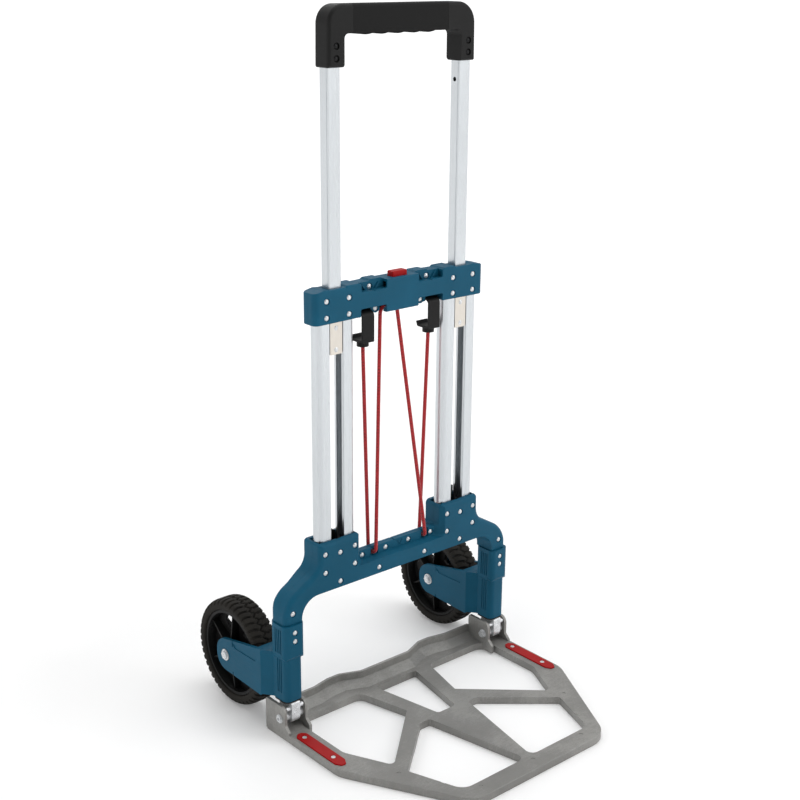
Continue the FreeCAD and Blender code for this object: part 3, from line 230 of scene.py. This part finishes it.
def braid(name, colour):
    """Braided sleeve of an elastic cord: crossing strands in two directions, with a fibre fuzz."""
    material, tree, shader = new_material(name)
    waves = []
    for lean in (1, -1):
        wave = tree.nodes.new("ShaderNodeTexWave")
        wave.bands_direction = "DIAGONAL"
        wave.inputs["Scale"].default_value = 120.0
        wave.inputs["Distortion"].default_value = 0.6
        tree.links.new(position(tree, (lean * 1.6, lean * 1.6, 1.0)), wave.inputs["Vector"])
        waves.append(wave.outputs["Fac"])
    crossed = add(tree, waves[0], waves[1], 1.0)
    fuzz = noise(tree, position(tree), 2600.0, 2.0)
    stops = [(0.2, shade(colour, 0.55)), (0.7, colour), (1.0, shade(colour, 1.35))]
    tree.links.new(ramp(tree, crossed, stops), shader.inputs["Base Color"])
    shader.inputs["Roughness"].default_value = CORD_ROUGHNESS
    shader.inputs["Sheen Weight"].default_value = CORD_FUZZ_SHEEN
    bump(tree, shader, add(tree, crossed, fuzz, 0.4), 0.5, 0.0004)
    return material


MATERIALS = {
    "teal_plastic": moulded_plastic("teal_plastic", linear(10, 80, 106), (0.45, 0.58)),
    "black_plastic": moulded_plastic("black_plastic", linear(22, 22, 22), (0.42, 0.55), 1300.0, 0.18, 1.3),
    "red_plastic": moulded_plastic("red_plastic", linear(158, 5, 8), (0.4, 0.52), 1600.0, 0.08, 1.1),
    "rail_aluminium": drawn_metal("rail_aluminium", linear(204, 208, 211), (0.24, 0.36), 1.0),
    "plate_metal": drawn_metal("plate_metal", linear(214, 208, 199), (0.3, 0.42)),
    "cast_aluminium": cast_metal("cast_aluminium", linear(134, 133, 130)),
    "zinc_steel": bright_zinc("zinc_steel", linear(222, 224, 226), (0.22, 0.38), 0.6),
    "black_metal": bright_zinc("black_metal", linear(36, 36, 37), (0.24, 0.4)),
    "grip_rubber": soft_rubber("grip_rubber", linear(25, 25, 25), 520.0, 1.3),
    "tyre_rubber": soft_rubber("tyre_rubber", linear(36, 34, 31)),
    "cord_fabric": braid("cord_fabric", linear(152, 8, 18)),
}


def dress(piece, slot):
    """Give a piece the material of a slot."""
    piece.data.materials.clear()
    piece.data.materials.append(MATERIALS[slot])


SLOT_OF = {part["node"]: part["material_slot"] for part in frame["record"]["subparts"]}
for node, piece in frame["nodes"].items():
    dress(piece, SLOT_OF[node])


# ---------------------------------------------------------------- camera
VIEW_AZIMUTH = math.radians(-41.02)
VIEW_ELEVATION = math.radians(17.94)
VIEW_ROLL = math.radians(0.441)
VIEW_DISTANCE = 2.1413
VIEW_TARGET = Vector((-0.0086, 0.0431, 0.5107))
LENS = 61.82
SENSOR = 36.0


def add_camera():
    """Camera in front of the cart on its left, a little above it and slightly rolled."""
    cos_el = math.cos(VIEW_ELEVATION)
    back = Vector((math.sin(VIEW_AZIMUTH) * cos_el,
                   -math.cos(VIEW_AZIMUTH) * cos_el,
                   math.sin(VIEW_ELEVATION)))
    right = Vector((math.cos(VIEW_AZIMUTH), math.sin(VIEW_AZIMUTH), 0))
    up = back.cross(right)
    cos_roll, sin_roll = math.cos(VIEW_ROLL), math.sin(VIEW_ROLL)
    rolled_right = right * cos_roll + up * sin_roll
    rolled_up = up * cos_roll - right * sin_roll
    turned = Matrix((rolled_right, rolled_up, back)).transposed()
    data = bpy.data.cameras.new("camera")
    data.sensor_width = SENSOR
    data.lens = LENS
    camera = bpy.data.objects.new("camera", data)
    bpy.context.scene.collection.objects.link(camera)
    camera.matrix_world = Matrix.Translation(VIEW_TARGET + back * VIEW_DISTANCE) @ turned.to_4x4()
    bpy.context.scene.camera = camera


add_camera()


# ---------------------------------------------------------------- smooth shading on CAD nodes
CREASE = math.radians(32)
for piece in frame["nodes"].values():
    split = piece.modifiers.new("crisp_edges", "EDGE_SPLIT")
    split.split_angle = CREASE
    piece.data.shade_smooth()


# ---------------------------------------------------------------- tyres
LUGS = 46
AROUND = 24
ACROSS = 26
GROOVE = 3.4 * MM
TYRE_INSET = 0.05 * MM
TYRE_HEIGHT = 17.0 * MM
TREAD_HEIGHT = 9 * MM
SHOULDER_DROP = 5.5 * MM
SHOULDER_START = 0.3
SHOULDER_GROOVE = 0.2
SHOULDER_LEAN = 0.42
SIDE_SHIFT = 0.2
MIDDLE_GROOVE = 0.1
ZIGZAG = 0.16


def tyre_section(half, inner, outer):
    """The tyre's section from one rim edge over the tread to the other, as (across, radius)."""
    wall = inner + 0.45 * (outer - inner)
    edge = [(half * 0.9, inner), (half * 0.97, inner + 1.2 * MM), (half, inner + 3 * MM), (half, wall)]
    points = [(-across, radius) for across, radius in edge]
    for k in range(ACROSS + 1):
        t = -1 + 2 * k / ACROSS
        across = half * math.copysign(min(1.0, abs(t)) ** 0.92, t)
        drop = SHOULDER_DROP * abs(t) ** 4.5
        points.append((across, outer - drop))
    return points + edge[::-1]


def lug_depth(across, turn):
    """How far the tread is cut back: slanted shoulder grooves that hook into a zigzag middle groove."""
    pitch = turn * LUGS / (2 * math.pi)
    lean = SHOULDER_LEAN * math.sin(min(1.0, abs(across)) * math.pi * 0.5)
    shift = SIDE_SHIFT if across > 0 else 0.0
    phase = (pitch + lean + shift) % 1.0
    shoulder = 0.0
    if abs(across) > SHOULDER_START:
        shoulder = max(0.0, 1 - (abs(phase - 0.5) / SHOULDER_GROOVE) ** 4)
    zigzag = ZIGZAG * (abs(pitch % 1.0 - 0.5) * 4 - 1)
    middle = max(0.0, 1 - (abs(across - zigzag) / MIDDLE_GROOVE) ** 4)
    return max(shoulder, middle)


def make_tyre(side):
    """Lugged tyre around the rim, in place of the plain CAD ring."""
    low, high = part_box("tyre_" + side)
    centre = (Vector(low) + Vector(high)) / 2
    half = (high[0] - low[0]) / 2 - TYRE_INSET
    outer = (high[2] - low[2]) / 2 - TYRE_INSET
    inner = outer - TYRE_HEIGHT
    section = tyre_section(half, inner, outer)
    count = LUGS * AROUND
    vertices = []
    for i in range(count):
        turn = 2 * math.pi * i / count
        for across, radius in section:
            reach = radius
            if radius > outer - TREAD_HEIGHT:
                reach -= GROOVE * lug_depth(across / half, turn)
            vertices.append((centre.x + across,
                             centre.y + reach * math.cos(turn),
                             centre.z + reach * math.sin(turn)))
    wide = len(section)
    faces = []
    for i in range(count):
        following = (i + 1) % count
        for j in range(wide):
            after = (j + 1) % wide
            faces.append((i * wide + j, i * wide + after,
                          following * wide + after, following * wide + j))
    mesh = bpy.data.meshes.new("tread_" + side)
    mesh.from_pydata(vertices, [], faces)
    mesh.shade_smooth()
    mesh.update()
    piece = bpy.data.objects.new("tread_" + side, mesh)
    bpy.context.scene.collection.objects.link(piece)
    dress(piece, "tyre_rubber")
    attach(piece, "wheel_" + side)
    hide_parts("tyre_" + side)


for side in SIDES:
    make_tyre(side)


# ---------------------------------------------------------------- floor and light
FLOOR_SIZE = 240
FLOOR_DROP = 0.0005
GLOW_FROM, GLOW_TO = 0.6, 4.5
GLOW_NEAR, GLOW_FAR = 0.12, 0.65
SURROUND_STRENGTH = 0.72
DIM_START, DIM_FULL = 0.7, 0.92


def add_floor():
    """Plain pale floor with a faint mottle that glows with painted light, faintly near the cart and more
    strongly further out, so that it fades to white.
    """
    bpy.ops.mesh.primitive_plane_add(size=FLOOR_SIZE, location=(0, 0, -FLOOR_DROP))
    floor = bpy.context.object
    floor.name = "floor"
    material, tree, shader = new_material("floor")
    mottle = noise(tree, position(tree), 3.0, 2.0)
    pale = [(0.3, (0.86, 0.86, 0.86, 1)), (0.7, (0.9, 0.9, 0.9, 1))]
    tree.links.new(ramp(tree, mottle, pale), shader.inputs["Base Color"])
    shader.inputs["Roughness"].default_value = 0.7
    distance = tree.nodes.new("ShaderNodeVectorMath")
    distance.operation = "LENGTH"
    tree.links.new(position(tree), distance.inputs[0])
    # painted light: the floor's own glow, weak near the cart and strong further out, in place of lamp
    # light
    glow = tree.nodes.new("ShaderNodeMapRange")
    glow.inputs["From Min"].default_value = GLOW_FROM
    glow.inputs["From Max"].default_value = GLOW_TO
    glow.inputs["To Min"].default_value = GLOW_NEAR
    glow.inputs["To Max"].default_value = GLOW_FAR
    tree.links.new(distance.outputs["Value"], glow.inputs["Value"])
    tree.links.new(glow.outputs["Result"], shader.inputs["Emission Strength"])
    shader.inputs["Emission Color"].default_value = (1, 1, 1, 1)
    floor.data.materials.append(material)


def area_light(name, place, target, size, power):
    """Square soft box aimed at a point."""
    data = bpy.data.lights.new(name, "AREA")
    data.size = size
    data.energy = power
    lamp = bpy.data.objects.new(name, data)
    bpy.context.scene.collection.objects.link(lamp)
    lamp.location = place
    lamp.rotation_euler = (Vector(target) - Vector(place)).to_track_quat("-Z", "Y").to_euler()


def add_world():
    """Studio surround: white at eye level, dimmer high up in front of the cart on its left."""
    world = bpy.data.worlds.new("surround")
    world.use_nodes = True
    tree = world.node_tree
    coordinates = tree.nodes.new("ShaderNodeTexCoord")
    facing = tree.nodes.new("ShaderNodeVectorMath")
    facing.operation = "DOT_PRODUCT"
    dim_side = (0.6 * math.sin(VIEW_AZIMUTH), -0.6 * math.cos(VIEW_AZIMUTH), 0.8)
    facing.inputs[1].default_value = dim_side
    tree.links.new(coordinates.outputs["Generated"], facing.inputs[0])
    stops = [(DIM_START, (1, 1, 1, 1)), (DIM_FULL, (0.1, 0.1, 0.1, 1))]
    shades = ramp(tree, facing.outputs["Value"], stops)
    tree.links.new(shades, tree.nodes["Background"].inputs["Color"])
    tree.nodes["Background"].inputs["Strength"].default_value = SURROUND_STRENGTH
    bpy.context.scene.world = world


def add_lights():
    """Large overhead box, a front key, a side fill and a rear fill."""
    middle = (0, 0, 0.5)
    area_light("overhead", (0.3, -0.4, 3.2), middle, 3.0, 48)
    area_light("key", (2.2, -2.4, 2.0), middle, 1.6, 24)
    area_light("side", (-3.2, 0.2, 1.7), middle, 1.4, 13)
    area_light("rear", (0.8, 3.0, 1.8), middle, 2.0, 17)


add_floor()
add_world()
add_lights()
bpy.context.scene.view_settings.view_transform = "Standard"
